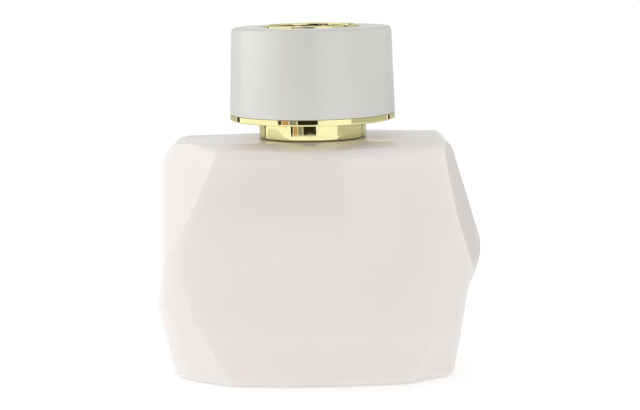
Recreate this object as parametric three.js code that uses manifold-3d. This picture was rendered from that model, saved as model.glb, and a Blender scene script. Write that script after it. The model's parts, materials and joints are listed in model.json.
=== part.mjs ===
// Perfume bottle: a thick faceted glass bottle with a crimped spray pump, a gold collar,
// a white cap with a gold band, and a plain gold medallion on the cap.
// Millimetres, +Z up. The neck axis is the Z axis, the bottle stands on z = 0,
// +X is to the right and -Y is the front, the way the nozzle points.

import * as THREE from 'three';
import { ConvexGeometry } from 'three/addons/geometries/ConvexGeometry.js';
import { mergeVertices } from 'three/addons/utils/BufferGeometryUtils.js';
import Module from 'manifold-3d';

const wasm = await Module();
wasm.setup();

// ---------- driving sizes ----------

const seat = 0.05; // gap between pieces that sit on each other
const clearance = 0.15; // gap between pieces that slide or press into each other

const glassTop = 52.4;
const glassLeft = -32.8;
const leftPeak = -34.3;
const rightPeak = 37.2;
const rightWaist = 33.4;
const frontDepth = 19.0; // from the neck axis to the front at the foot
const frontTaper = 1 / 50; // how much the front leans in per unit of height
const frontBow = 130; // radius of the bowed front, seen from above
const stripCount = 5;
const stripSpread = 26; // the bowed strips touch the front out to this x
const edgeBall = 0.7;
const heelRadius = 2.2;
const rimRadius = 2.6;
const shoulderRadiusLeft = 5.2;
const shoulderRadiusRight = 3.2;
const peakRadius = 8;
const hair = 0.01; // keeps faces of joined solids from lying on each other

const cavityWall = 4.6;
const cavityFloor = 10.5;
const cavityTop = 45.5;
const cavityLeft = -27.5;
const cavityRight = 29.0;
const cavityBall = 6.0;

const boreRadius = 5.0;
const neckRadius = 6.6;
const beadRadius = 7.5;
const lipZ = glassTop + 7.2;

const collarRadius = 11.85;
const collarFoot = glassTop + 0.15;
const collarTop = collarFoot + 10.2;
const collarWall = 0.6;
const collarMouth = 9.0; // radius of the round hole that the button stands in

const capFoot = 56.4;
const bandTop = capFoot + 1.3;
const capTop = 76.6;
const capRadiusFoot = 18.2;
const capRadiusTop = 17.5;
const capWall = 1.6;
const roofThickness = 1.0;
const recessFloor = capTop - 1.0;
const recessRadius = 10.9;
const linerBore = collarRadius + 0.2;
const linerWall = 1.1;
const linerOuter = linerBore + linerWall;
const linerCeiling = 73.4;

const medallionFloor = recessFloor + 0.35;
const medallionTop = capTop + 0.4;
const hoopRadius = recessRadius - 0.3;
const hoopWidth = 1.3;
const innerHoop = { inner: 2.6, outer: 3.5 };
const spokeWidth = 0.7;
const spokeCount = 12;

const stemRadius = 1.5;
const stemBore = 0.6;
const stemTop = lipZ + 11.3;
const flangeFoot = lipZ + 1.0; // the housing hangs in the neck by this flange
const flangeRadius = 7.2;
const flangeThickness = 1.0;
const barrelBore = 2.8;
const barrelOuter = 4.0;
const sealRadius = barrelBore - clearance;
const tubeRadius = 1.3;
const ballRadius = 1.2;
const ballZ = lipZ - 17.4;
const springRadius = 2.1;
const wireRadius = 0.28;
const springTurns = 7;
const endCloseness = 0.35;
const springFoot = lipZ - 15.9;
const springHead = lipZ - 5.4;
const buttonFoot = lipZ + 7.5;
const buttonTop = lipZ + 12.9;
const buttonRadius = 6.3;
const buttonWall = 0.5;
const nozzleZ = lipZ + 10.4;
const pocketRadius = 1.75;
const pocketDepth = 2.7; // how deep the nozzle pocket is cut into the button

const visibleSides = 72;
const linerSides = 48;
const hiddenSides = 32;

const finishes = {
  clearGlass: { color: '#eef0ee', roughness: 0.05, metalness: 0.0 },
  whiteGloss: { color: '#e9e6e1', roughness: 0.28, metalness: 0.0 },
  paleGold: { color: '#d8d29a', roughness: 0.14, metalness: 1.0 },
  aluminium: { color: '#c9cbcc', roughness: 0.35, metalness: 1.0 },
  springSteel: { color: '#a9adb0', roughness: 0.3, metalness: 1.0 },
  whitePlastic: { color: '#f1f0ec', roughness: 0.5, metalness: 0.0 },
  clearPlastic: { color: '#e3e6e4', roughness: 0.25, metalness: 0.0 },
  greyRubber: { color: '#b9b7b2', roughness: 0.8, metalness: 0.0 },
  castZinc: { color: '#8f9294', roughness: 0.5, metalness: 0.9 },
};

const bottle = new THREE.Group();
bottle.name = 'perfume_bottle';

function addPart(name, finish, geometry) {
  const mesh = new THREE.Mesh(geometry, new THREE.MeshStandardMaterial(finishes[finish]));
  mesh.name = name;
  bottle.add(mesh);
}

// ---------- general solids ----------

// Turns an outline of [radius, z] points about the Z axis. A ring's outline closes on itself.
function turned(outline, sides, isRing = true) {
  const points = outline.map(([radius, z]) => new THREE.Vector2(radius, z));
  if (isRing) points.push(points[0].clone());
  const geometry = new THREE.LatheGeometry(points, sides);
  geometry.rotateX(Math.PI / 2);
  return geometry;
}

// A plain ring between two radii and two heights.
function ring(inner, outer, bottom, top, sides) {
  return turned([[inner, bottom], [outer, bottom], [outer, top], [inner, top]], sides);
}

// A solid disc or rod on the Z axis.
function disc(radius, bottom, top, sides) {
  return turned([[0, bottom], [radius, bottom], [radius, top], [0, top]], sides, false);
}

// A rod lying along -Y at height z, from the inner to the outer distance from the axis.
function frontRod(radius, z, inner, outer, sides) {
  const rod = disc(radius, inner, outer, sides);
  rod.rotateX(Math.PI / 2);
  rod.translate(0, 0, z);
  return rod;
}

// Points on an arc of an outline, with angles in degrees from the radius axis.
function arc(centreRadius, centreZ, size, from, to, steps) {
  return Array.from({ length: steps + 1 }, (unused, i) => {
    const angle = THREE.MathUtils.degToRad(from + (to - from) * i / steps);
    return [centreRadius + size * Math.cos(angle), centreZ + size * Math.sin(angle)];
  });
}

function solidOf(geometry) {
  const plain = new THREE.BufferGeometry();
  plain.setAttribute('position', geometry.getAttribute('position').clone());
  if (geometry.index) plain.setIndex(geometry.index.clone());
  const merged = mergeVertices(plain, 1e-5);
  return new wasm.Manifold(new wasm.Mesh({
    numProp: 3,
    vertProperties: new Float32Array(merged.getAttribute('position').array),
    triVerts: new Uint32Array(merged.index.array),
  }));
}

function geometryOf(solid) {
  const mesh = solid.getMesh();
  const geometry = new THREE.BufferGeometry();
  const positions = new Float32Array(mesh.vertProperties);
  geometry.setAttribute('position', new THREE.BufferAttribute(positions, 3));
  geometry.setIndex(new THREE.BufferAttribute(new Uint32Array(mesh.triVerts), 1));
  geometry.computeVertexNormals();
  return geometry;
}

// ---------- convex solids from flat facets ----------

const bodyCentre = new THREE.Vector3(0, 0, glassTop / 2);

// The flat facet through three points, facing away from the middle of the body.
function facet(a, b, c) {
  const [p, q, r] = [a, b, c].map((point) => new THREE.Vector3(...point));
  const normal = q.clone().sub(p).cross(r.clone().sub(p)).normalize();
  if (normal.dot(p.clone().sub(bodyCentre)) < 0) normal.negate();
  return { normal, reach: normal.dot(p) };
}

// A facet that runs straight from front to back through two points given as [x, z].
function sideFacet([x1, z1], [x2, z2]) {
  return facet([x1, -1, z1], [x1, 1, z1], [x2, 1, z2]);
}

function levelFacet(z) {
  return facet([0, 0, z], [1, 0, z], [0, 1, z]);
}

function mirrored({ normal, reach }) {
  return { normal: new THREE.Vector3(normal.x, -normal.y, normal.z), reach };
}

function movedIn({ normal, reach }, distance) {
  return { normal, reach: reach - distance };
}

// Extra facets that round the edge between two facets.
function roundedEdge(first, second, radius, steps) {
  return Array.from({ length: steps }, (unused, i) => {
    const share = (i + 1) / (steps + 1);
    const normal = first.normal.clone().lerp(second.normal, share);
    const centre = THREE.MathUtils.lerp(first.reach - radius, second.reach - radius, share);
    const length = normal.length();
    return { normal: normal.divideScalar(length), reach: centre / length + radius };
  });
}

// Every point where three facets meet inside all the others.
function cornersOf(facets) {
  const flatLimit = 1e-5;
  const sameCorner = 0.02;
  const corners = [];
  const rows = new THREE.Matrix3();
  const addCorner = (i, j, k) => {
    const [a, b, c] = [facets[i], facets[j], facets[k]];
    rows.set(...a.normal.toArray(), ...b.normal.toArray(), ...c.normal.toArray());
    if (Math.abs(rows.determinant()) < flatLimit) return;
    const corner = new THREE.Vector3(a.reach, b.reach, c.reach).applyMatrix3(rows.invert());
    if (corners.some((other) => other.distanceTo(corner) < sameCorner)) return;
    if (facets.every((f) => f.normal.dot(corner) < f.reach + flatLimit)) corners.push(corner);
  };
  for (let i = 0; i < facets.length; i += 1) {
    for (let j = i + 1; j < facets.length; j += 1) {
      for (let k = j + 1; k < facets.length; k += 1) addCorner(i, j, k);
    }
  }
  return corners;
}

// The convex solid inside the facets, with a ball of the given radius nested in every corner.
function roundedSolid(facets, radius, ballDetail) {
  const ball = new THREE.IcosahedronGeometry(radius, ballDetail).getAttribute('position');
  const points = [];
  for (const corner of cornersOf(facets.map((f) => movedIn(f, radius)))) {
    for (let i = 0; i < ball.count; i += 1) {
      points.push(new THREE.Vector3().fromBufferAttribute(ball, i).add(corner));
    }
  }
  return solidOf(new ConvexGeometry(points));
}

// ---------- glass bottle ----------

// The point of the bowed front at a given x and z.
function onFront(x, z) {
  return [x, -(frontDepth - z * frontTaper - x * x / (2 * frontBow)), z];
}

// Flat strips that together follow the bow of the front.
function frontStrips() {
  return Array.from({ length: stripCount }, (unused, i) => {
    const x = stripSpread * (2 * i / (stripCount - 1) - 1);
    const normal = new THREE.Vector3(x / frontBow, -1, frontTaper).normalize();
    return { normal, reach: normal.dot(new THREE.Vector3(...onFront(x, 0))) };
  });
}

// The slanting facets that cut the front corners of the body, from top left to foot right.
function cornerFacets() {
  const shoulderLeft = onFront(-26.1, 38.2);
  const kneeLeft = onFront(-26.6, 15.0);
  const waistLeft = [-30.6, -14.4, 30.0];
  const hipLeft = [-30.9, -13.4, 14.9];
  const hipRight = onFront(33.4, 22.0);
  const kneeRight = onFront(24.9, 8.7);
  const heelRight = [31.0, -12.5, 9.3];
  return [
    facet(onFront(-20.7, 50.4), shoulderLeft, [glassLeft, -5, glassTop]),
    facet(shoulderLeft, waistLeft, kneeLeft),
    facet(waistLeft, kneeLeft, [-32.5, -13.2, 28.5]),
    facet(kneeLeft, hipLeft, [-26.2, -13.0, 0]),
    facet(hipLeft, [-34.0, -11.8, 18.1], [-31.2, -9.0, 0]),
    facet(onFront(27.6, 51.0), hipRight, [37.1, -4, 27.8]),
    facet(hipRight, kneeRight, heelRight),
    facet(kneeRight, heelRight, onFront(23.3, 0)),
  ];
}

// The side facets, by the silhouette seen from the front.
const sides = {
  uprightLeft: sideFacet([glassLeft, glassTop], [glassLeft, 0]),
  bulgeLeft: sideFacet([glassLeft, 27.5], [leftPeak, 17]),
  footLeft: sideFacet([leftPeak, 17], [-31.0, 0]),
  upperRight: sideFacet([29.4, glassTop], [rightPeak, 27.6]),
  underRight: sideFacet([rightPeak, 27.6], [rightWaist, 20.5]),
  footRight: sideFacet([rightWaist, 20.5], [29.9, 0]),
};

// The top falls away gently to the front and, in two planes, to the back.
const topSlopes = {
  front: facet([-1, -12.2, glassTop], [1, -12.2, glassTop], [0, -17.2, glassTop - 1.4]),
  rearLeft: facet([-25, 6, glassTop], [13, 11.7, glassTop], [-6, 17.2, glassTop - 1.9]),
  rearRight: facet([13, 11.7, glassTop], [28, 8.4, glassTop], [20, 17.2, glassTop - 1.6]),
};

// Facets that bound the whole body.
function sharedFacets() {
  const top = levelFacet(glassTop);
  const base = levelFacet(0);
  const front = [...frontStrips(), ...cornerFacets()];
  const back = front.map(mirrored);
  const rimOf = (facets, slope) => facets
    .slice(0, stripCount + 1)
    .flatMap((f) => roundedEdge(slope, f, rimRadius, 2));
  const heels = [...front, ...back, sides.footLeft, sides.footRight];
  return [
    ...front,
    ...back,
    ...Object.values(topSlopes),
    ...rimOf(front, topSlopes.front),
    ...rimOf(back, topSlopes.rearLeft),
    ...rimOf(back, topSlopes.rearRight),
    sides.footLeft,
    sides.upperRight,
    top,
    base,
    ...heels.flatMap((f) => roundedEdge(base, f, heelRadius, 2)),
    ...roundedEdge(top, sides.uprightLeft, shoulderRadiusLeft, 4),
    ...roundedEdge(top, sides.upperRight, shoulderRadiusRight, 3),
    ...roundedEdge(sides.upperRight, sides.underRight, peakRadius, 2),
  ];
}

// The sides bend inward at two waists, so the body is two convex solids joined.
// The lower one is a hair smaller, so that no two faces lie on each other.
function glassBody() {
  const shared = sharedFacets();
  const upper = [...shared, sides.uprightLeft, sides.underRight];
  const lower = [...shared.map((f) => movedIn(f, hair)), sides.bulgeLeft, sides.footRight];
  return roundedSolid(upper, edgeBall, 2).add(roundedSolid(lower, edgeBall, 2));
}

// The hollow keeps its distance from the front facets and has large soft corners.
function cavityFacets() {
  const front = [...frontStrips(), ...cornerFacets()].map((f) => movedIn(f, cavityWall));
  return [
    ...front,
    ...front.map(mirrored),
    sideFacet([cavityLeft, 0], [cavityLeft, 1]),
    sideFacet([cavityRight, 0], [cavityRight, 1]),
    levelFacet(cavityFloor),
    levelFacet(cavityTop),
  ];
}

function glassBottle() {
  const rootZ = glassTop - 4;
  const neck = turned([
    [0, rootZ],
    [neckRadius, rootZ],
    [neckRadius, lipZ - 3.4],
    [beadRadius, lipZ - 2.6],
    [beadRadius, lipZ - 0.5],
    [beadRadius - 0.5, lipZ],
    [0, lipZ],
  ], hiddenSides, false);
  const bore = turned([
    [0, cavityTop - 3],
    [boreRadius + 3, cavityTop - 3],
    [boreRadius + 3, cavityTop - 0.5],
    [boreRadius, cavityTop + 3],
    [boreRadius, lipZ + 1],
    [0, lipZ + 1],
  ], hiddenSides, false);
  return geometryOf(
    glassBody()
      .add(solidOf(neck))
      .subtract(roundedSolid(cavityFacets(), cavityBall, 4))
      .subtract(solidOf(bore)),
  );
}

// ---------- pump ----------

// The gasket lies between the lip of the neck and the pump's flange.
function neckGasket() {
  return ring(boreRadius + 0.2, beadRadius - 0.4, lipZ + seat, flangeFoot - seat, hiddenSides);
}

// A metal cup that is crimped over the flange and under the bead of the neck.
function crimpFerrule() {
  const sheet = 0.4;
  const mouth = 3.6;
  const inner = beadRadius + clearance;
  const outer = inner + sheet;
  const top = lipZ + 3.35;
  const curl = neckRadius + 0.3; // the foot is rolled in under the bead of the neck
  return turned([
    [mouth, top - sheet],
    [inner, top - sheet],
    [inner, lipZ - 3.0],
    [curl, lipZ - 3.7],
    [curl, lipZ - 4.1],
    [outer - 0.2, lipZ - 3.6],
    [outer, lipZ - 3.0],
    [outer, top - 0.5],
    [outer - 0.5, top],
    [mouth, top],
  ], hiddenSides);
}

// The barrel has a shelf for the spring, a seat for the ball and a socket for the dip tube.
function pumpHousing() {
  const shelf = springFoot - 0.1;
  const ballBore = ballRadius + 0.25;
  const inlet = 0.8;
  const socketRoof = lipZ - 19.4;
  const socketBore = tubeRadius + clearance;
  const socketOuter = socketBore + 0.75;
  const socketFoot = lipZ - 24.0;
  return turned([
    [barrelBore, flangeFoot + flangeThickness],
    [barrelBore, shelf],
    [ballBore, shelf],
    [ballBore, ballZ - 0.4],
    [inlet, ballZ - 1.5],
    [inlet, socketRoof],
    [socketBore, socketRoof],
    [socketBore, socketFoot],
    [socketOuter, socketFoot],
    [socketOuter, socketRoof - 0.6],
    [barrelOuter, socketRoof + 1.0],
    [barrelOuter, flangeFoot],
    [flangeRadius, flangeFoot],
    [flangeRadius, flangeFoot + flangeThickness],
  ], hiddenSides);
}

// The turret closes the barrel from above and guides the stem.
function pumpTurret() {
  const plug = lipZ - 0.6;
  const foot = flangeFoot + flangeThickness + seat;
  const top = foot + 2.5;
  const plate = foot + 0.8;
  const bore = stemRadius + clearance;
  return turned([
    [bore, plug],
    [sealRadius, plug],
    [sealRadius, foot],
    [flangeRadius, foot],
    [flangeRadius, plate],
    [3.4, plate],
    [3.2, top],
    [bore, top],
  ], hiddenSides);
}

// A tube with a shoulder that stops it under the seal; the piston sits below the shoulder.
function pumpStem() {
  const foot = lipZ - 6.2;
  const shoulder = lipZ - 2.6;
  const shoulderRadius = 2.4;
  const tailRadius = stemRadius - 0.2;
  return turned([
    [stemBore, foot],
    [tailRadius, foot],
    [tailRadius, shoulder - 0.4],
    [shoulderRadius, shoulder],
    [shoulderRadius, shoulder + 0.8],
    [stemRadius, shoulder + 0.9],
    [stemRadius, stemTop],
    [stemBore, stemTop],
  ], hiddenSides);
}

function stemSeal() {
  return ring(stemRadius + clearance, sealRadius, lipZ - 1.6, lipZ - 0.65, hiddenSides);
}

function piston() {
  return ring(stemRadius - 0.1, sealRadius, lipZ - 5.3, lipZ - 3.7, hiddenSides);
}

function inletBall() {
  return new THREE.SphereGeometry(ballRadius, 16, 10).translate(0, 0, ballZ);
}

// The spring is a helix whose end coils lie closer together than the middle ones.
class SpringCurve extends THREE.Curve {
  getPoint(t, target = new THREE.Vector3()) {
    const angle = t * springTurns * 2 * Math.PI;
    const climb = THREE.MathUtils.lerp(t, THREE.MathUtils.smoothstep(t, 0, 1), endCloseness);
    const rise = springHead - springFoot - 2 * wireRadius;
    return target.set(
      springRadius * Math.cos(angle),
      springRadius * Math.sin(angle),
      springFoot + wireRadius + rise * climb,
    );
  }
}

// Sweeps a round section, hollow when an inner radius is given, along a curve.
function swept(curve, steps, outer, inner = 0) {
  const section = new THREE.Shape().absarc(0, 0, outer, 0, 2 * Math.PI, false);
  if (inner > 0) section.holes.push(new THREE.Path().absarc(0, 0, inner, 0, 2 * Math.PI, true));
  const sweep = { steps, curveSegments: 4, bevelEnabled: false, extrudePath: curve };
  return new THREE.ExtrudeGeometry(section, sweep);
}

// The dip tube hangs straight, then bends to the left corner of the floor.
function dipTube() {
  const path = new THREE.CubicBezierCurve3(
    new THREE.Vector3(0, 0, lipZ - 19.6),
    new THREE.Vector3(0, 0, lipZ - 32),
    new THREE.Vector3(-2, 0, cavityFloor + 10),
    new THREE.Vector3(-9, 0, cavityFloor + 2.2),
  );
  return swept(path, 18, tubeRadius, 0.75);
}

// ---------- button ----------

// The core takes the stem from below and the nozzle from the front.
function actuatorCore() {
  const outer = buttonRadius - buttonWall - 0.1;
  const top = buttonTop - 0.9;
  const hollow = buttonFoot + 1.4;
  const body = turned([
    [0, hollow],
    [3.9, hollow],
    [4.5, buttonFoot],
    [outer, buttonFoot],
    [outer, top - 0.6],
    [outer - 0.6, top],
    [0, top],
  ], hiddenSides, false);
  const socket = disc(stemRadius + 0.02, buttonFoot, stemTop + 0.1, hiddenSides);
  const pocket = frontRod(pocketRadius, nozzleZ, buttonRadius - pocketDepth, buttonRadius, hiddenSides);
  const channel = frontRod(0.5, nozzleZ, stemBore + 0.2, buttonRadius, 12);
  return geometryOf(
    solidOf(body)
      .subtract(solidOf(socket))
      .subtract(solidOf(pocket))
      .subtract(solidOf(channel)),
  );
}

// A drawn metal cup with a dished top and a window for the nozzle.
function actuatorShell() {
  const inner = buttonRadius - buttonWall;
  const foot = buttonFoot + seat;
  const ceiling = buttonTop - 0.8;
  const edge = 0.7;
  const cup = turned([
    [0, ceiling],
    [inner - 0.3, ceiling],
    [inner, ceiling - 0.3],
    [inner, foot],
    [buttonRadius, foot],
    ...arc(buttonRadius - edge, buttonTop - edge, edge, 0, 90, 4),
    [buttonRadius - 1.6, buttonTop],
    [0, buttonTop - 0.25],
  ], visibleSides, false);
  const window = frontRod(pocketRadius + 0.25, nozzleZ, inner / 2, buttonRadius + 1, hiddenSides);
  return geometryOf(solidOf(cup).subtract(solidOf(window)));
}

// A small plug with a cone in its face and the spray hole through it.
function nozzleInsert() {
  const radius = pocketRadius - clearance;
  const back = buttonRadius - pocketDepth + 0.1;
  const face = buttonRadius + 0.1;
  const coneFloor = buttonRadius - 0.5;
  const insert = turned([
    [0, back],
    [radius, back],
    [radius, face - 0.3],
    [radius - 0.3, face],
    [0.7, face],
    [0.35, coneFloor],
    [0, coneFloor],
  ], 20, false);
  insert.rotateX(Math.PI / 2);
  insert.translate(0, 0, nozzleZ);
  const hole = frontRod(0.2, nozzleZ, back - 1, face + 1, 10);
  return geometryOf(solidOf(insert).subtract(solidOf(hole)));
}

// ---------- collar ----------

function collarShell() {
  const bevel = 0.25;
  const edge = 0.6;
  const inner = collarRadius - collarWall;
  return turned([
    [inner, collarFoot],
    [collarRadius - bevel, collarFoot],
    [collarRadius, collarFoot + bevel],
    ...arc(collarRadius - edge, collarTop - edge, edge, 0, 90, 3),
    [collarMouth, collarTop],
    [collarMouth, collarTop - collarWall],
    [inner, collarTop - collarWall],
  ], visibleSides);
}

// The insert grips the ferrule and steps in below it, so that it can't be pulled off.
function collarInsert() {
  const outer = collarRadius - collarWall - clearance;
  const foot = collarFoot + 0.2;
  const top = collarTop - collarWall - clearance;
  const ferruleFoot = lipZ - 4.3;
  const ferruleBore = beadRadius + 0.7;
  const neckBore = neckRadius + 0.5;
  return turned([
    [neckBore, foot],
    [outer, foot],
    [outer, top],
    [ferruleBore, top],
    [ferruleBore, ferruleFoot],
    [neckBore, ferruleFoot],
  ], hiddenSides);
}

// ---------- cap ----------

function capShell() {
  const edge = 0.9;
  const lip = bandTop + seat;
  return turned([
    [0, recessFloor - roofThickness],
    [capRadiusTop - capWall, recessFloor - roofThickness],
    [capRadiusFoot - capWall, lip],
    [capRadiusFoot, lip],
    ...arc(capRadiusTop - edge, capTop - edge, edge, 2, 90, 5),
    [recessRadius, capTop],
    [recessRadius, recessFloor],
    [0, recessFloor],
  ], visibleSides, false);
}

// The liner slips over the collar and grips it with a low ridge.
function capLiner() {
  const foot = capFoot + 0.3;
  const roof = linerCeiling + 1.05;
  const gripZ = foot + 4.5;
  const ridge = 0.1;
  return turned([
    [0, linerCeiling],
    [linerBore, linerCeiling],
    [linerBore, gripZ + 1.0],
    [linerBore - ridge, gripZ + 0.5],
    [linerBore - ridge, gripZ - 0.5],
    [linerBore, gripZ - 1.0],
    [linerBore, foot + 0.5],
    [linerBore + 0.3, foot],
    [linerOuter, foot],
    [linerOuter, roof],
    [0, roof],
  ], linerSides, false);
}

function capWeight() {
  const outer = 15.5;
  return ring(linerOuter + clearance, outer, bandTop + 3.6, linerCeiling - 0.5, hiddenSides);
}

// The band is flush with the cap and keyed into it by a thin upright ring.
function capBand() {
  const inner = linerOuter + clearance;
  const bevel = 0.3;
  const floor = bandTop - 0.3;
  const keyOuter = capRadiusFoot - capWall - 0.25;
  const keyInner = keyOuter - 0.95;
  const keyTop = bandTop + 2.4;
  return turned([
    [inner, capFoot],
    [capRadiusFoot - bevel, capFoot],
    [capRadiusFoot, capFoot + bevel],
    [capRadiusFoot, bandTop],
    [keyOuter, bandTop],
    [keyOuter, keyTop],
    [keyInner, keyTop],
    [keyInner, floor],
    [inner, floor],
  ], visibleSides);
}

// ---------- medallion ----------

function medallionBase() {
  return disc(recessRadius - clearance, recessFloor + seat, medallionFloor, visibleSides);
}

// An outer hoop with a rounded rim, an inner hoop and straight spokes between them.
function medallionFrame() {
  const foot = medallionFloor + seat;
  const hoopInner = hoopRadius - hoopWidth;
  const rim = 0.45;
  const hoop = turned([
    [hoopInner, foot],
    [hoopRadius, foot],
    ...arc(hoopRadius - rim, medallionTop - rim, rim, 0, 180, 6),
    [hoopInner, foot + 0.6],
  ], visibleSides);
  const centre = ring(innerHoop.inner, innerHoop.outer, foot, medallionTop - 0.35, hiddenSides);
  const start = (innerHoop.inner + innerHoop.outer) / 2;
  const length = hoopRadius - 1.0 - start;
  const height = medallionTop - 0.4 - foot;
  const spoke = new THREE.BoxGeometry(length, spokeWidth, height);
  spoke.translate(start + length / 2, 0, foot + height / 2);
  const spokes = Array.from({ length: spokeCount }, (unused, i) => {
    return solidOf(spoke.clone().rotateZ(2 * Math.PI * i / spokeCount));
  });
  return geometryOf(spokes.reduce((sum, next) => sum.add(next), solidOf(hoop).add(solidOf(centre))));
}

// ---------- assembly ----------

addPart('glass_bottle', 'clearGlass', glassBottle());

addPart('neck_gasket', 'greyRubber', neckGasket());
addPart('crimp_ferrule', 'aluminium', crimpFerrule());
addPart('pump_housing', 'clearPlastic', pumpHousing());
addPart('pump_turret', 'whitePlastic', pumpTurret());
addPart('stem_seal', 'greyRubber', stemSeal());
addPart('dip_tube', 'clearPlastic', dipTube());

addPart('pump_stem', 'whitePlastic', pumpStem());
addPart('piston', 'clearPlastic', piston());
addPart('return_spring', 'springSteel', swept(new SpringCurve(), springTurns * 14, wireRadius));
addPart('inlet_ball', 'springSteel', inletBall());

addPart('actuator_core', 'whitePlastic', actuatorCore());
addPart('actuator_shell', 'paleGold', actuatorShell());
addPart('nozzle_insert', 'whitePlastic', nozzleInsert());

addPart('collar_insert', 'whitePlastic', collarInsert());
addPart('collar_shell', 'paleGold', collarShell());

addPart('cap_shell', 'whiteGloss', capShell());
addPart('cap_liner', 'whitePlastic', capLiner());
addPart('cap_weight', 'castZinc', capWeight());
addPart('cap_band', 'paleGold', capBand());
addPart('medallion_base', 'paleGold', medallionBase());
addPart('medallion_frame', 'paleGold', medallionFrame());

export default bottle;
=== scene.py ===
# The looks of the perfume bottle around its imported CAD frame.
# Metres, +Z up. The neck axis is the Z axis, the bottle stands on z = 0 and -Y is the front.
import json
import math

import bmesh
import bpy
from mathutils import Matrix, Vector


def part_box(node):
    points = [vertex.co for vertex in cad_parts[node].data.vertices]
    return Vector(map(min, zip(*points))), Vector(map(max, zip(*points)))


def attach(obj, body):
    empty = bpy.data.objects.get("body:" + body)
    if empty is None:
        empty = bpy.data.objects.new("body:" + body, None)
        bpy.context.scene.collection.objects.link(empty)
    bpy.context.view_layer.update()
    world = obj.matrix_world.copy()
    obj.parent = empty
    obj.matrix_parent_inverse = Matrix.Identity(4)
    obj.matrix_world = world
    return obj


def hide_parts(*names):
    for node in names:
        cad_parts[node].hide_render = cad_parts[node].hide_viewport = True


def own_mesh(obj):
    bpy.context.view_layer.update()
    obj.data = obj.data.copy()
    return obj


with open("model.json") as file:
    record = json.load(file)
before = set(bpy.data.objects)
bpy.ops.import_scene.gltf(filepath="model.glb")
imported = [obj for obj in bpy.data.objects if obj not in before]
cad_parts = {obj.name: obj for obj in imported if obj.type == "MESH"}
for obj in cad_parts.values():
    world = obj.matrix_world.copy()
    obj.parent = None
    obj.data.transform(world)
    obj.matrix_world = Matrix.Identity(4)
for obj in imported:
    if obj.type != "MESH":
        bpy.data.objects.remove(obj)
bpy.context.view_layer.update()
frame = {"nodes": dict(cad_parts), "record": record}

MM = 0.001
ROUND_STEPS = 180
WELD_DISTANCE = 0.002 * MM
SHARP_ANGLE = math.radians(28)

# How the CAD bows the front and the back of the glass.
BOW_RADIUS = 130 * MM
BOW_TAPER = 1 / 50
BOW_STEP = 2 * MM
BOW_CUTS = 35
HEEL_HEIGHT = 2.2 * MM

# Fits between pieces, as in the CAD.
SEAT = 0.05 * MM
CLEARANCE = 0.15 * MM
CAP_WALL = 1.6 * MM

# Studio levels, and the ring of cards that the gold mirrors.
SKY = 0.8
FLOOR_GLOW = 0.3
KEY_WATTS = 1.2
FILL_WATTS = 0.3
KEY_PLACE = (-0.62, 0.1, 0.3)
FILL_PLACE = (0.6, 0.35, 0.3)
LIGHT_SIDE = 0.5
LIGHT_AIM = Vector((0, 0, 0.04))
CARD_RADIUS = 300 * MM
CARD_FOOT = 1 * MM
CARD_HEIGHT = 400 * MM
FLOOR_HALF_SIDE = 8

# The camera of the photograph: a long lens a little above the cap.
CAMERA_LENS = 85.3
CAMERA_PLACE = (1.3 * MM, -334 * MM, 89.6 * MM)
CAMERA_PITCH = math.radians(90 - 8.96)
CAMERA_ROLL = math.radians(-0.943)


# ---------- materials ----------

class Finish:
    """A Principled material whose detail comes from noise in the object's own coordinates."""

    def __init__(self, name, colour, roughness, metallic=0.0):
        self.material = bpy.data.materials.new(name)
        self.material.use_nodes = True
        self.nodes = self.material.node_tree.nodes
        self.links = self.material.node_tree.links
        self.shader = self.nodes["Principled BSDF"]
        self.set("Base Color", (*colour, 1))
        self.set("Roughness", roughness)
        self.set("Metallic", metallic)

    def set(self, socket, value):
        self.shader.inputs[socket].default_value = value

    def noise(self, size, stretch=(1, 1, 1), detail=3.0):
        """Noise with features of about the given size, drawn out along an axis by a small stretch."""
        place = self.nodes.new("ShaderNodeTexCoord")
        scale = self.nodes.new("ShaderNodeMapping")
        noise = self.nodes.new("ShaderNodeTexNoise")
        scale.inputs["Scale"].default_value = [share / size for share in stretch]
        noise.inputs["Scale"].default_value = 1
        noise.inputs["Detail"].default_value = detail
        self.links.new(place.outputs["Object"], scale.inputs["Vector"])
        self.links.new(scale.outputs["Vector"], noise.inputs["Vector"])
        return noise.outputs["Fac"]

    def vary_roughness(self, source, low, high):
        spread = self.nodes.new("ShaderNodeMapRange")
        spread.inputs["From Min"].default_value = 0.2
        spread.inputs["From Max"].default_value = 0.8
        spread.inputs["To Min"].default_value = low
        spread.inputs["To Max"].default_value = high
        self.links.new(source, spread.inputs["Value"])
        self.links.new(spread.outputs["Result"], self.shader.inputs["Roughness"])

    def vary_colour(self, source, first, second):
        ramp = self.nodes.new("ShaderNodeValToRGB")
        ramp.color_ramp.elements[0].position = 0.25
        ramp.color_ramp.elements[0].color = (*first, 1)
        ramp.color_ramp.elements[1].position = 0.75
        ramp.color_ramp.elements[1].color = (*second, 1)
        self.links.new(source, ramp.inputs["Fac"])
        self.links.new(ramp.outputs["Color"], self.shader.inputs["Base Color"])

    def bump(self, source, depth):
        bump = self.nodes.new("ShaderNodeBump")
        bump.inputs["Strength"].default_value = 1
        bump.inputs["Distance"].default_value = depth
        self.links.new(source, bump.inputs["Height"])
        self.links.new(bump.outputs["Normal"], self.shader.inputs["Normal"])


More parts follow.
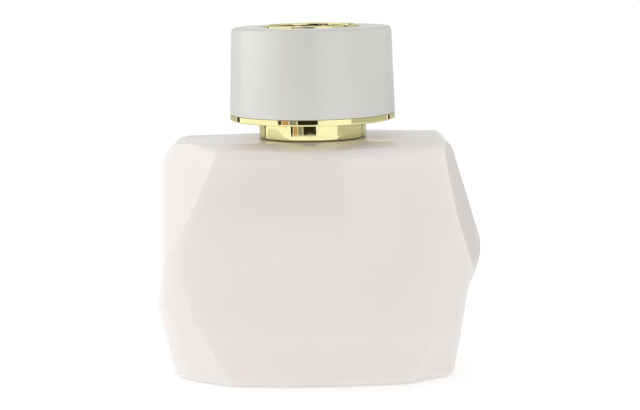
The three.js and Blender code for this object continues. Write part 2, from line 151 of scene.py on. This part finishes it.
def milky_glass():
    """Thick milky glass: light wanders a few millimetres inside it, under a fire-polished face."""
    finish = Finish("milky_glass_look", (0.97, 0.935, 0.905), 0.02)
    finish.set("Subsurface Weight", 1.0)
    finish.set("Subsurface Radius", (1, 0.95, 0.9))
    finish.set("Subsurface Scale", 4 * MM)
    finish.set("Transmission Weight", 0.12)
    finish.set("IOR", 1.5)
    finish.vary_colour(finish.noise(15 * MM, detail=2.0), (0.92, 0.86, 0.835), (0.935, 0.88, 0.86))
    finish.vary_roughness(finish.noise(9 * MM), 0.06, 0.12)
    finish.bump(finish.noise(14 * MM, detail=1.0), 0.03 * MM)
    return finish.material


def inner_lacquer():
    """The white coat sprayed on the inside of the glass, slightly uneven in thickness."""
    finish = Finish("inner_lacquer_look", (0.8, 0.78, 0.76), 0.5)
    finish.vary_colour(finish.noise(16 * MM, detail=2.0), (0.76, 0.735, 0.715), (0.82, 0.805, 0.785))
    finish.bump(finish.noise(0.8 * MM), 0.01 * MM)
    return finish.material


def white_gloss():
    """Lacquered white cap: glossy, with fine orange peel and a faint cloudiness."""
    finish = Finish("white_gloss_look", (0.67, 0.66, 0.64), 0.3)
    finish.set("Coat Weight", 0.35)
    finish.set("Coat Roughness", 0.24)
    finish.vary_colour(finish.noise(14 * MM), (0.655, 0.645, 0.625), (0.685, 0.675, 0.655))
    finish.vary_roughness(finish.noise(7 * MM), 0.27, 0.33)
    finish.bump(finish.noise(2.5 * MM, detail=0.0), 0.002 * MM)
    return finish.material


def pale_gold():
    """Polished pale gold plating with fine turning lines and a little handling haze."""
    finish = Finish("pale_gold_look", (0.88, 0.82, 0.43), 0.06, metallic=1.0)
    finish.vary_colour(finish.noise(5 * MM), (0.86, 0.8, 0.41), (0.91, 0.86, 0.47))
    finish.vary_roughness(finish.noise(3 * MM, detail=5.0), 0.02, 0.08)
    finish.bump(finish.noise(0.25 * MM, stretch=(0.05, 0.05, 1)), 0.0004 * MM)
    return finish.material


def turned_metal(name, colour, low, high):
    """Bare metal with turning lines round the Z axis."""
    finish = Finish(name, colour, low, metallic=1.0)
    finish.vary_colour(finish.noise(4 * MM), colour, [0.88 * part for part in colour])
    finish.vary_roughness(finish.noise(0.3 * MM, stretch=(0.1, 0.1, 1)), low, high)
    finish.bump(finish.noise(0.2 * MM, stretch=(0.05, 0.05, 1)), 0.002 * MM)
    return finish.material


def moulded_plastic(name, colour, low, high, transmission=0.0):
    """Injection-moulded plastic with a fine moulded grain and soft shade changes."""
    finish = Finish(name, colour, low)
    finish.set("Transmission Weight", transmission)
    finish.vary_colour(finish.noise(6 * MM), colour, [0.94 * part for part in colour])
    finish.vary_roughness(finish.noise(1.5 * MM), low, high)
    finish.bump(finish.noise(0.15 * MM), 0.003 * MM)
    return finish.material


def soft_rubber():
    finish = Finish("grey_rubber_look", (0.45, 0.44, 0.42), 0.8)
    finish.vary_colour(finish.noise(2 * MM), (0.42, 0.41, 0.39), (0.49, 0.48, 0.46))
    finish.vary_roughness(finish.noise(0.5 * MM), 0.7, 0.9)
    finish.bump(finish.noise(0.1 * MM), 0.006 * MM)
    return finish.material


def cast_zinc():
    finish = Finish("cast_zinc_look", (0.36, 0.37, 0.38), 0.5, metallic=0.9)
    finish.vary_colour(finish.noise(3 * MM), (0.3, 0.31, 0.32), (0.42, 0.43, 0.44))
    finish.vary_roughness(finish.noise(1 * MM), 0.4, 0.65)
    finish.bump(finish.noise(0.4 * MM), 0.02 * MM)
    return finish.material


# Each CAD material slot and its look.
LOOKS = {
    "clear_glass": milky_glass(),
    "white_lacquer": white_gloss(),
    "pale_gold": pale_gold(),
    "pump_aluminium": turned_metal("pump_aluminium_look", (0.76, 0.77, 0.78), 0.25, 0.45),
    "spring_steel": turned_metal("spring_steel_look", (0.6, 0.62, 0.63), 0.2, 0.35),
    "white_plastic": moulded_plastic("white_plastic_look", (0.8, 0.79, 0.77), 0.4, 0.55),
    "clear_plastic": moulded_plastic("clear_plastic_look", (0.85, 0.86, 0.85), 0.2, 0.3, 0.7),
    "grey_rubber": soft_rubber(),
    "cast_zinc": cast_zinc(),
}


# ---------- making pieces ----------

def body_holding(node):
    bodies = frame["record"]["behaviour"]["bodies"]
    return next(body for body, nodes in bodies.items() if node in nodes)


def add_piece(name, mesh, node):
    """Adds a mesh as a piece that stands for a CAD node: same body, same slot, its look."""
    piece = bpy.data.objects.new(name, mesh)
    bpy.context.scene.collection.objects.link(piece)
    slot = frame["nodes"][node].material_slots[0].material.name.split(".")[0]
    mesh.materials.append(LOOKS[slot])
    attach(piece, body_holding(node))
    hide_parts(node)
    return piece


def smooth(mesh):
    """Smooth shading that stays crisp at real edges."""
    mesh.shade_smooth()
    mesh.set_sharp_from_angle(angle=SHARP_ANGLE)


def soften_edges(piece, width):
    """Small rounded edges that catch the light."""
    bevel = piece.modifiers.new("edges", "BEVEL")
    bevel.width = width
    bevel.segments = 2
    bevel.limit_method = "ANGLE"
    bevel.angle_limit = SHARP_ANGLE
    bevel.use_clamp_overlap = True
    bevel.harden_normals = True


def welded(node):
    """A bmesh of the CAD node with its split corners joined and its flat faces whole again."""
    shape = bmesh.new()
    shape.from_mesh(frame["nodes"][node].data)
    bmesh.ops.remove_doubles(shape, verts=shape.verts, dist=WELD_DISTANCE)
    flat = math.radians(0.3)
    bmesh.ops.dissolve_limit(shape, angle_limit=flat, verts=shape.verts, edges=shape.edges)
    return shape


def mesh_from(name, shape):
    mesh = bpy.data.meshes.new(name)
    shape.to_mesh(mesh)
    shape.free()
    if "custom_normal" in mesh.attributes:
        mesh.attributes.remove(mesh.attributes["custom_normal"])
    smooth(mesh)
    return mesh


def finer_copy(node, edge):
    """The CAD node's own shape with smooth round faces and softened edges."""
    piece = add_piece(node + "_fine", mesh_from(node + "_fine", welded(node)), node)
    soften_edges(piece, edge)
    return piece


def softened(outline, steps=6):
    """An outline of (radius, height, corner size) points with its corners rounded."""
    points = []
    for i, (radius, height, size) in enumerate(outline):
        corner = Vector((radius, height))
        if size == 0:
            points.append(corner)
            continue
        before = Vector(outline[i - 1][:2])
        after = Vector(outline[(i + 1) % len(outline)][:2])
        start = corner + (before - corner).normalized() * size
        end = corner + (after - corner).normalized() * size
        for k in range(steps + 1):
            t = k / steps
            points.append(start * (1 - t) ** 2 + corner * 2 * t * (1 - t) + end * t ** 2)
    return points


def turned(outline):
    """Turns a softened outline about the Z axis. Points on the axis become single corners."""
    shape = bmesh.new()
    rings = []
    for radius, height in outline:
        if radius < WELD_DISTANCE:
            rings.append([shape.verts.new((0, 0, height))] * ROUND_STEPS)
            continue
        angles = [2 * math.pi * step / ROUND_STEPS for step in range(ROUND_STEPS)]
        rings.append([
            shape.verts.new((radius * math.cos(a), radius * math.sin(a), height)) for a in angles
        ])
    for low, high in zip(rings, rings[1:] + rings[:1]):
        for step in range(ROUND_STEPS):
            following = (step + 1) % ROUND_STEPS
            corners = [low[step], low[following], high[following], high[step]]
            corners = list(dict.fromkeys(corners))
            if len(corners) > 2:
                shape.faces.new(corners)
    bmesh.ops.recalc_face_normals(shape, faces=shape.faces)
    return shape


def turned_piece(name, outline, node):
    return add_piece(name, mesh_from(name, turned(softened(outline))), node)


# ---------- glass ----------

def bow_strips(shape, side, reach):
    """The outer faces of the front (side -1) or the back (side 1), beyond the given reach."""
    steepest = 0.96
    return [
        face for face in shape.faces
        if face.normal.y * side > steepest and face.calc_center_median().y * side > reach
    ]


def bowed(shape, depth):
    """Bends the flat strips of the front and the back into one smooth bow."""
    skin = 3 * MM
    reach = 0.9 * depth - skin
    for i in range(BOW_CUTS):
        for side in (-1, 1):
            strips = bow_strips(shape, side, reach)
            edges = {edge for face in strips for edge in face.edges}
            corners = {corner for face in strips for corner in face.verts}
            bmesh.ops.bisect_plane(
                shape,
                geom=[*strips, *edges, *corners],
                plane_co=((i - BOW_CUTS // 2) * BOW_STEP, 0, 0),
                plane_no=(1, 0, 0),
                dist=0.01 * MM,
            )
    for corner in shape.verts:
        x, y, z = corner.co
        limit = depth - z * BOW_TAPER - x * x / (2 * BOW_RADIUS)
        if abs(y) > limit:
            corner.co.y = math.copysign(limit, y)


def top_ridges(shape):
    """The shallow ridges between the flat top and the slopes that fall to the front and back.
    Each is the pair of its corners' numbers."""
    level = 0.999
    slope_steepest, slope_shallowest = 0.9, 0.99
    least_lean = 0.15
    shape.verts.index_update()
    ridges = set()
    for edge in shape.edges:
        if len(edge.link_faces) != 2:
            continue
        upper, lower = sorted(edge.link_faces, key=lambda face: -face.normal.z)
        sloping = slope_steepest < lower.normal.z < slope_shallowest
        if upper.normal.z > level and sloping and abs(lower.normal.y) > least_lean:
            ridges.add(frozenset(corner.index for corner in edge.verts))
    return ridges


def glass():
    """The glass, with its hollow and bore coated in white lacquer."""
    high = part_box("glass_bottle")[1]
    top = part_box("collar_shell")[0].z
    shape = welded("glass_bottle")
    bowed(shape, high.y + HEEL_HEIGHT * BOW_TAPER)
    shape.normal_update()
    hollow_middle = Vector((0, 0, top / 2))
    for face in shape.faces:
        middle = face.calc_center_median()
        looks_inward = face.normal.dot(middle - hollow_middle) < 0
        face.material_index = int(looks_inward and middle.z < top)
    ridges = top_ridges(shape)
    mesh = mesh_from("bottle_glass", shape)
    for edge in mesh.edges:
        if frozenset(edge.vertices) in ridges:
            edge.use_edge_sharp = True
    piece = add_piece("bottle_glass", mesh, "glass_bottle")
    mesh.materials.append(inner_lacquer())
    even = piece.modifiers.new("even", "WEIGHTED_NORMAL")
    even.mode = "FACE_AREA_WITH_ANGLE"
    even.weight = 80
    even.keep_sharp = True
    return piece


# ---------- collar, cap and medallion ----------

def collar():
    low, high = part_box("collar_shell")
    outer = high.x
    wall = 0.6 * MM
    mouth = 9 * MM
    return turned_piece("collar_gold", [
        (outer - wall, low.z, 0.08 * MM),
        (outer, low.z, 0.3 * MM),
        (outer, high.z, 0.7 * MM),
        (mouth, high.z, 0.15 * MM),
        (mouth, high.z - wall, 0.1 * MM),
        (outer - wall, high.z - wall, 0.2 * MM),
    ], "collar_shell")


def cap():
    low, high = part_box("cap_shell")
    foot_radius = high.x
    top_radius = foot_radius - 0.7 * MM
    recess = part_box("medallion_base")
    recess_radius = recess[1].x + CLEARANCE
    recess_floor = recess[0].z - SEAT
    ceiling = recess_floor - 1 * MM
    return turned_piece("cap_white", [
        (0, ceiling, 0),
        (top_radius - CAP_WALL, ceiling, 0.8 * MM),
        (foot_radius - CAP_WALL, low.z, 0.1 * MM),
        (foot_radius, low.z, 0.12 * MM),
        (top_radius, high.z, 1.1 * MM),
        (recess_radius, high.z, 0.15 * MM),
        (recess_radius, recess_floor, 0.1 * MM),
        (0, recess_floor, 0),
    ], "cap_shell")


def band():
    low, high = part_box("cap_band")
    outer = high.x
    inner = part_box("cap_liner")[1].x + CLEARANCE
    rim_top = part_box("cap_shell")[0].z - SEAT
    key_gap = 0.25 * MM
    key_width = 0.95 * MM
    key_outer = outer - CAP_WALL - key_gap
    key_inner = key_outer - key_width
    floor = rim_top - 0.3 * MM
    return turned_piece("cap_band_gold", [
        (inner, low.z, 0.15 * MM),
        (outer, low.z, 0.32 * MM),
        (outer, rim_top, 0.1 * MM),
        (key_outer, rim_top, 0.05 * MM),
        (key_outer, high.z, 0.15 * MM),
        (key_inner, high.z, 0.15 * MM),
        (key_inner, floor, 0.05 * MM),
        (inner, floor, 0.1 * MM),
    ], "cap_band")


def medallion_plate():
    """The gold plate under the openwork, with a shallow ring groove near its rim."""
    low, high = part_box("medallion_base")
    rim = high.x
    groove = 0.08 * MM
    crisp = 0.05 * MM
    return turned_piece("medallion_plate", [
        (0, low.z, 0),
        (rim, low.z, crisp),
        (rim, high.z, crisp),
        (rim - 2.0 * MM, high.z, crisp),
        (rim - 2.2 * MM, high.z - groove, crisp),
        (rim - 2.6 * MM, high.z - groove, crisp),
        (rim - 2.8 * MM, high.z, crisp),
        (0, high.z, 0),
    ], "medallion_base")


# ---------- stage, light and camera ----------

def glow(name, colour, strength):
    material = bpy.data.materials.new(name)
    material.use_nodes = True
    shader = material.node_tree.nodes["Principled BSDF"]
    shader.inputs["Base Color"].default_value = (0, 0, 0, 1)
    shader.inputs["Specular IOR Level"].default_value = 0
    shader.inputs["Emission Color"].default_value = (*colour, 1)
    shader.inputs["Emission Strength"].default_value = strength
    return material


def floor():
    """A white table that also glows faintly, so that it stays white far from the lights."""
    half = FLOOR_HALF_SIDE
    mesh = bpy.data.meshes.new("floor")
    corners = [(-half, -half, 0), (half, -half, 0), (half, half, 0), (-half, half, 0)]
    mesh.from_pydata(corners, [], [(0, 1, 2, 3)])
    table = bpy.data.objects.new("floor", mesh)
    bpy.context.scene.collection.objects.link(table)
    finish = Finish("floor_look", (0.9, 0.9, 0.895), 0.6)
    finish.set("Emission Color", (1, 1, 1, 1))
    finish.set("Emission Strength", FLOOR_GLOW)
    finish.set("Specular IOR Level", 0)
    mesh.materials.append(finish.material)


def card(name, start, end, material):
    """A curved card round the bottle, between two bearings in degrees from the front.
    It shows only in reflections."""
    steps = 8
    mesh = bpy.data.meshes.new(name)
    corners = []
    for i in range(steps + 1):
        bearing = math.radians(start + (end - start) * i / steps)
        x, y = CARD_RADIUS * math.sin(bearing), -CARD_RADIUS * math.cos(bearing)
        corners += [(x, y, CARD_FOOT), (x, y, CARD_HEIGHT)]
    faces = [(2 * i, 2 * i + 2, 2 * i + 3, 2 * i + 1) for i in range(steps)]
    mesh.from_pydata(corners, [], faces)
    mesh.materials.append(material)
    panel = bpy.data.objects.new(name, mesh)
    bpy.context.scene.collection.objects.link(panel)
    panel.visible_camera = False
    panel.visible_diffuse = False
    panel.visible_transmission = False
    panel.visible_shadow = False


def studio():
    """Bright air all round, a soft key on the left, and cards that give the gold its bands."""
    world = bpy.data.worlds.new("studio")
    bpy.context.scene.world = world
    world.use_nodes = True
    sky = world.node_tree.nodes["Background"]
    sky.inputs["Color"].default_value = (1, 0.995, 0.985, 1)
    sky.inputs["Strength"].default_value = SKY

    black = glow("card_black", (0.025, 0.02, 0.012), 1)
    warm = glow("card_warm", (0.75, 0.42, 0.2), 0.8)
    dim = glow("card_dim", (0.3, 0.31, 0.27), 1)
    middle = glow("card_middle", (0.56, 0.57, 0.52), 1)
    bright = glow("card_bright", (1, 1, 0.98), 1.1)
    card("card_front", -20, 7, black)
    card("card_front_grey", -31, -21, dim)
    card("card_front_warm", -41, -32, warm)
    card("card_left_line", -47, -42, black)
    card("card_left", -114, -50, bright)
    card("card_left_far_line", -126, -118, black)
    card("card_right", 15, 52, bright)
    card("card_right_side", 53, 124, middle)
    card("card_right_far_line", 126, 133, black)
    card("card_right_far", 134, 165, middle)
    card("card_left_far", -165, -127, middle)

    area_light("key", KEY_PLACE, KEY_WATTS)
    area_light("fill", FILL_PLACE, FILL_WATTS)


def area_light(name, place, watts):
    data = bpy.data.lights.new(name, "AREA")
    data.shape = "RECTANGLE"
    data.size = LIGHT_SIDE
    data.size_y = LIGHT_SIDE
    data.energy = watts
    light = bpy.data.objects.new(name, data)
    bpy.context.scene.collection.objects.link(light)
    light.location = place
    aim = LIGHT_AIM - Vector(place)
    light.rotation_euler = aim.to_track_quat("-Z", "Y").to_euler()
    light.visible_camera = False


def camera():
    data = bpy.data.cameras.new("camera")
    data.lens = CAMERA_LENS
    data.clip_start = 0.01
    data.clip_end = 100
    seer = bpy.data.objects.new("camera", data)
    bpy.context.scene.collection.objects.link(seer)
    place = Matrix.Translation(CAMERA_PLACE)
    pitch = Matrix.Rotation(CAMERA_PITCH, 4, "X")
    roll = Matrix.Rotation(CAMERA_ROLL, 4, "Z")
    seer.matrix_world = place @ pitch @ roll
    bpy.context.scene.camera = seer


glass()
collar()
cap()
band()
medallion_plate()

# Pieces whose CAD shape is right as it is, with the width of their softened edges.
EDGES = {
    "medallion_frame": 0.12 * MM,
    "actuator_shell": 0.1 * MM,
    "actuator_core": 0.1 * MM,
    "nozzle_insert": 0.06 * MM,
    "crimp_ferrule": 0.08 * MM,
    "collar_insert": 0.15 * MM,
    "cap_liner": 0.15 * MM,
    "cap_weight": 0.2 * MM,
    "pump_housing": 0.08 * MM,
    "pump_turret": 0.1 * MM,
    "pump_stem": 0.08 * MM,
    "piston": 0.1 * MM,
    "neck_gasket": 0.1 * MM,
    "stem_seal": 0.08 * MM,
    "dip_tube": 0.05 * MM,
    "inlet_ball": 0.01 * MM,
    "return_spring": 0.01 * MM,
}
copies = {node: finer_copy(node, edge) for node, edge in EDGES.items()}

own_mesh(copies["return_spring"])

floor()
studio()
camera()
bpy.context.scene.view_settings.view_transform = "Standard"
